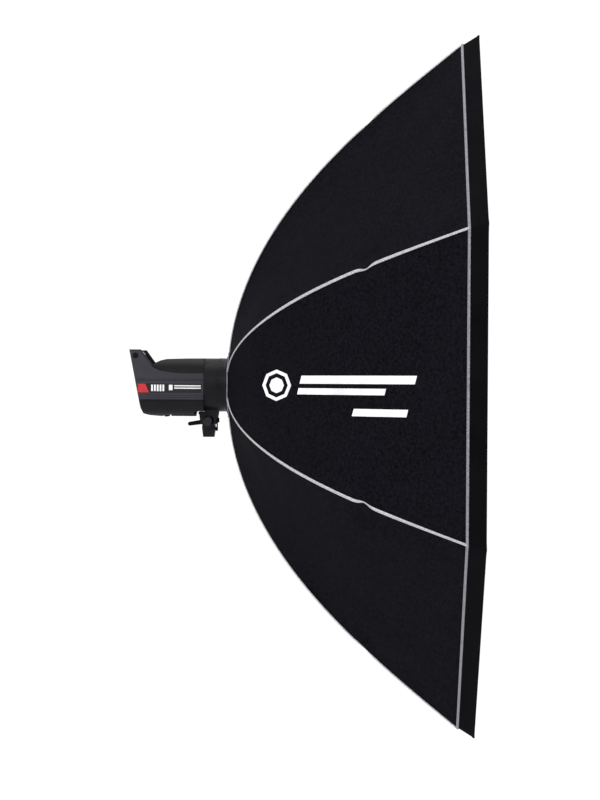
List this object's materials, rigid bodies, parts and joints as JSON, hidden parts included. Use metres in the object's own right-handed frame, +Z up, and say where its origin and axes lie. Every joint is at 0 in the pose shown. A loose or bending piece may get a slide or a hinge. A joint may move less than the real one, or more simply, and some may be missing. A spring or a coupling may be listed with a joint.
{
  "type": "octabox on a flash head",
  "caption": "Octagonal soft box on a monolight flash head, with a tilting stand mount, folding ribs and a front diffuser.",
  "frame": {"origin": "centre of the mouth of the stand socket under the head", "axes": "+X is the way the light shines, +Z is up, -Z is the way the stand's spigot leaves its socket"},
  "size_m": [0.8435, 1.6224, 1.6224],
  "materials": {
    "mount_metal": "black powder-coated die casting, fine orange peel",
    "knob_plastic": "black moulded nylon, light grain, scuffed edges",
    "bolt_metal": "black-oxide steel, satin",
    "steel": "plain turned steel",
    "housing_plastic": "near-black glass-filled plastic, fine spark texture",
    "panel_plastic": "dark grey satin plastic, fine spark texture",
    "handle_metal": "satin anodised bar",
    "vent_plastic": "black moulded plastic",
    "screw_black": "black-oxide screws",
    "badge_red": "printed red label with plain white bars",
    "display": "dark smooth window",
    "switch_red": "red translucent rocker",
    "button_plastic": "grey moulded buttons",
    "fan_plastic": "dark moulded blades",
    "capacitor_sleeve": "blue shrink sleeve",
    "board": "green solder mask",
    "lamp_metal": "bright rolled aluminium",
    "flash_glass": "coated quartz tube",
    "lamp_glass": "halogen envelope",
    "dome_glass": "frosted borosilicate",
    "collar_plastic": "black moulded collar with grip flutes",
    "ring_metal": "dark anodised ring",
    "canopy_fabric": "black coated nylon, tight plain weave",
    "lining_silver": "pebbled silver lining",
    "piping_grey": "grey corded piping tape",
    "lip_fabric": "deep black smooth nylon",
    "print_white": "plain white screen print",
    "baffle_fabric": "white diffusing nylon",
    "strap_fabric": "black elastic webbing",
    "diffuser_fabric": "white diffusing nylon",
    "rib_rod": "dark anodised rod and moulded root"
  },
  "bodies": {
    "stand_mount": {"stand_receiver": "mount_metal"},
    "stand_screw": {"stand_screw": "knob_plastic"},
    "head": {"tilt_yoke": "mount_metal", "pivot_bolt": "bolt_metal", "friction_washers": "steel", "barrel_shell": "housing_plastic", "housing": "housing_plastic", "left_panel": "panel_plastic", "right_panel": "panel_plastic", "handle_bar": "handle_metal", "handle_caps": "knob_plastic", "base_vent": "vent_plastic", "base_feet": "knob_plastic", "housing_screws": "screw_black", "badge_plate": "badge_red", "rear_panel": "vent_plastic", "display_window": "display", "mains_inlet": "knob_plastic", "sync_socket": "steel", "fan_frame": "vent_plastic", "capacitors": "capacitor_sleeve", "circuit_board": "board", "lamp_plate": "lamp_metal", "flash_tube": "flash_glass", "modelling_lamp": "lamp_glass", "glass_dome": "dome_glass", "bayonet_adapter": "ring_metal", "retaining_ring": "steel"},
    "tilt_lever": {"tilt_lever": "knob_plastic"},
    "control_dial": {"control_dial": "knob_plastic"},
    "power_switch": {"power_switch": "switch_red"},
    "button_1": {"button_1": "button_plastic"},
    "button_2": {"button_2": "button_plastic"},
    "button_3": {"button_3": "button_plastic"},
    "button_4": {"button_4": "button_plastic"},
    "fan_rotor": {"fan_rotor": "fan_plastic"},
    "lock_collar": {"lock_collar": "collar_plastic"},
    "soft_box": {"speed_ring": "ring_metal", "hinge_pins": "steel", "ring_screws": "steel", "canopy": "canopy_fabric", "inner_baffle": "baffle_fabric", "baffle_straps": "strap_fabric"},
    "rib_1": {"rib_1": "rib_rod"},
    "rib_2": {"rib_2": "rib_rod"},
    "rib_3": {"rib_3": "rib_rod"},
    "rib_4": {"rib_4": "rib_rod"},
    "rib_5": {"rib_5": "rib_rod"},
    "rib_6": {"rib_6": "rib_rod"},
    "rib_7": {"rib_7": "rib_rod"},
    "rib_8": {"rib_8": "rib_rod"},
    "diffuser_1": {"diffuser_1": "diffuser_fabric"},
    "diffuser_2": {"diffuser_2": "diffuser_fabric"},
    "diffuser_3": {"diffuser_3": "diffuser_fabric"},
    "diffuser_4": {"diffuser_4": "diffuser_fabric"},
    "diffuser_5": {"diffuser_5": "diffuser_fabric"},
    "diffuser_6": {"diffuser_6": "diffuser_fabric"},
    "diffuser_7": {"diffuser_7": "diffuser_fabric"},
    "diffuser_8": {"diffuser_8": "diffuser_fabric"}
  },
  "joints": [
    {"name": "tilt", "type": "hinge", "parent": "stand_mount", "child": "head", "pos_m": [0, 0, 0.0404], "axis": [0, 1, 0], "range_deg": [-25, 35]},
    {"name": "stand_screw_turn", "type": "hinge", "parent": "stand_mount", "child": "stand_screw", "pos_m": [0, 0, 0.02], "axis": [1, 0, 0], "range_deg": [-20, 20]},
    {"name": "tilt_lever_turn", "type": "hinge", "parent": "head", "child": "tilt_lever", "pos_m": [0, 0.028, 0.0404], "axis": [0, 1, 0], "range_deg": [-60, 0]},
    {"name": "dial_turn", "type": "hinge", "parent": "head", "child": "control_dial", "pos_m": [-0.16233, 0, 0.11026], "axis": [-0.9816, 0, -0.1908], "continuous": true},
    {"name": "power_switch_rock", "type": "hinge", "parent": "head", "child": "power_switch", "pos_m": [-0.15474, 0.03, 0.09951], "axis": [0, 1, 0], "range_deg": [-7, 7]},
    {"name": "button_1_press", "type": "slide", "parent": "head", "child": "button_1", "axis": [0.9816, 0, 0.1908], "range_m": [0, 0.0012], "stiffness_N_per_m": 400},
    {"name": "button_2_press", "type": "slide", "parent": "head", "child": "button_2", "axis": [0.9816, 0, 0.1908], "range_m": [0, 0.0012], "stiffness_N_per_m": 400},
    {"name": "button_3_press", "type": "slide", "parent": "head", "child": "button_3", "axis": [0.9816, 0, 0.1908], "range_m": [0, 0.0012], "stiffness_N_per_m": 400},
    {"name": "button_4_press", "type": "slide", "parent": "head", "child": "button_4", "axis": [0.9816, 0, 0.1908], "range_m": [0, 0.0012], "stiffness_N_per_m": 400},
    {"name": "fan_spin", "type": "hinge", "parent": "head", "child": "fan_rotor", "pos_m": [-0.121, 0, 0.13], "axis": [1, 0, 0], "continuous": true},
    {"name": "lock_collar_turn", "type": "hinge", "parent": "head", "child": "lock_collar", "pos_m": [0.0297, 0, 0.13], "axis": [1, 0, 0], "range_deg": [0, 20]},
    {"name": "box_spin", "type": "hinge", "parent": "head", "child": "soft_box", "pos_m": [0.0575, 0, 0.13], "axis": [1, 0, 0], "continuous": true},
    {"name": "fold_1", "type": "hinge", "parent": "soft_box", "child": "rib_1", "pos_m": [0.0635, 0.03214, 0.05239], "axis": [0, -0.9239, -0.3827], "range_deg": [0, 52], "deforming": ["canopy", "inner_baffle", "baffle_straps"]},
    {"name": "fold_2", "type": "hinge", "parent": "soft_box", "child": "rib_2", "pos_m": [0.0635, 0.07761, 0.09785], "axis": [0, -0.3827, -0.9239], "range_deg": [0, 52]},
    {"name": "fold_3", "type": "hinge", "parent": "soft_box", "child": "rib_3", "pos_m": [0.0635, 0.07761, 0.16215], "axis": [0, 0.3827, -0.9239], "range_deg": [0, 52]},
    {"name": "fold_4", "type": "hinge", "parent": "soft_box", "child": "rib_4", "pos_m": [0.0635, 0.03214, 0.20761], "axis": [0, 0.9239, -0.3827], "range_deg": [0, 52]},
    {"name": "fold_5", "type": "hinge", "parent": "soft_box", "child": "rib_5", "pos_m": [0.0635, -0.03214, 0.20761], "axis": [0, 0.9239, 0.3827], "range_deg": [0, 52]},
    {"name": "fold_6", "type": "hinge", "parent": "soft_box", "child": "rib_6", "pos_m": [0.0635, -0.07761, 0.16215], "axis": [0, 0.3827, 0.9239], "range_deg": [0, 52]},
    {"name": "fold_7", "type": "hinge", "parent": "soft_box", "child": "rib_7", "pos_m": [0.0635, -0.07761, 0.09785], "axis": [0, -0.3827, 0.9239], "range_deg": [0, 52]},
    {"name": "fold_8", "type": "hinge", "parent": "soft_box", "child": "rib_8", "pos_m": [0.0635, -0.03214, 0.05239], "axis": [0, -0.9239, 0.3827], "range_deg": [0, 52]},
    {"name": "gather_1", "type": "hinge", "parent": "rib_1", "child": "diffuser_1", "pos_m": [0.6258, 0.3256, -0.65608], "axis": [0, -0.9239, -0.3827], "range_deg": [0, 36.5], "deforming": ["diffuser_1"]},
    {"name": "gather_2", "type": "hinge", "parent": "rib_2", "child": "diffuser_2", "pos_m": [0.6258, 0.78608, -0.1956], "axis": [0, -0.3827, -0.9239], "range_deg": [0, 36.5], "deforming": ["diffuser_2"]},
    {"name": "gather_3", "type": "hinge", "parent": "rib_3", "child": "diffuser_3", "pos_m": [0.6258, 0.78608, 0.4556], "axis": [0, 0.3827, -0.9239], "range_deg": [0, 36.5], "deforming": ["diffuser_3"]},
    {"name": "gather_4", "type": "hinge", "parent": "rib_4", "child": "diffuser_4", "pos_m": [0.6258, 0.3256, 0.91608], "axis": [0, 0.9239, -0.3827], "range_deg": [0, 36.5], "deforming": ["diffuser_4"]},
    {"name": "gather_5", "type": "hinge", "parent": "rib_5", "child": "diffuser_5", "pos_m": [0.6258, -0.3256, 0.91608], "axis": [0, 0.9239, 0.3827], "range_deg": [0, 36.5], "deforming": ["diffuser_5"]},
    {"name": "gather_6", "type": "hinge", "parent": "rib_6", "child": "diffuser_6", "pos_m": [0.6258, -0.78608, 0.4556], "axis": [0, 0.3827, 0.9239], "range_deg": [0, 36.5], "deforming": ["diffuser_6"]},
    {"name": "gather_7", "type": "hinge", "parent": "rib_7", "child": "diffuser_7", "pos_m": [0.6258, -0.78608, -0.1956], "axis": [0, -0.3827, 0.9239], "range_deg": [0, 36.5], "deforming": ["diffuser_7"]},
    {"name": "gather_8", "type": "hinge", "parent": "rib_8", "child": "diffuser_8", "pos_m": [0.6258, -0.3256, -0.65608], "axis": [0, -0.9239, 0.3827], "range_deg": [0, 36.5], "deforming": ["diffuser_8"]}
  ],
  "couplings": [
    {"joint": "fold_2", "follows": "fold_1", "ratio": 1},
    {"joint": "fold_3", "follows": "fold_1", "ratio": 1},
    {"joint": "fold_4", "follows": "fold_1", "ratio": 1},
    {"joint": "fold_5", "follows": "fold_1", "ratio": 1},
    {"joint": "fold_6", "follows": "fold_1", "ratio": 1},
    {"joint": "fold_7", "follows": "fold_1", "ratio": 1},
    {"joint": "fold_8", "follows": "fold_1", "ratio": 1},
    {"joint": "gather_1", "follows": "fold_1", "ratio": 0.7},
    {"joint": "gather_2", "follows": "fold_1", "ratio": 0.7},
    {"joint": "gather_3", "follows": "fold_1", "ratio": 0.7},
    {"joint": "gather_4", "follows": "fold_1", "ratio": 0.7},
    {"joint": "gather_5", "follows": "fold_1", "ratio": 0.7},
    {"joint": "gather_6", "follows": "fold_1", "ratio": 0.7},
    {"joint": "gather_7", "follows": "fold_1", "ratio": 0.7},
    {"joint": "gather_8", "follows": "fold_1", "ratio": 0.7}
  ]
}
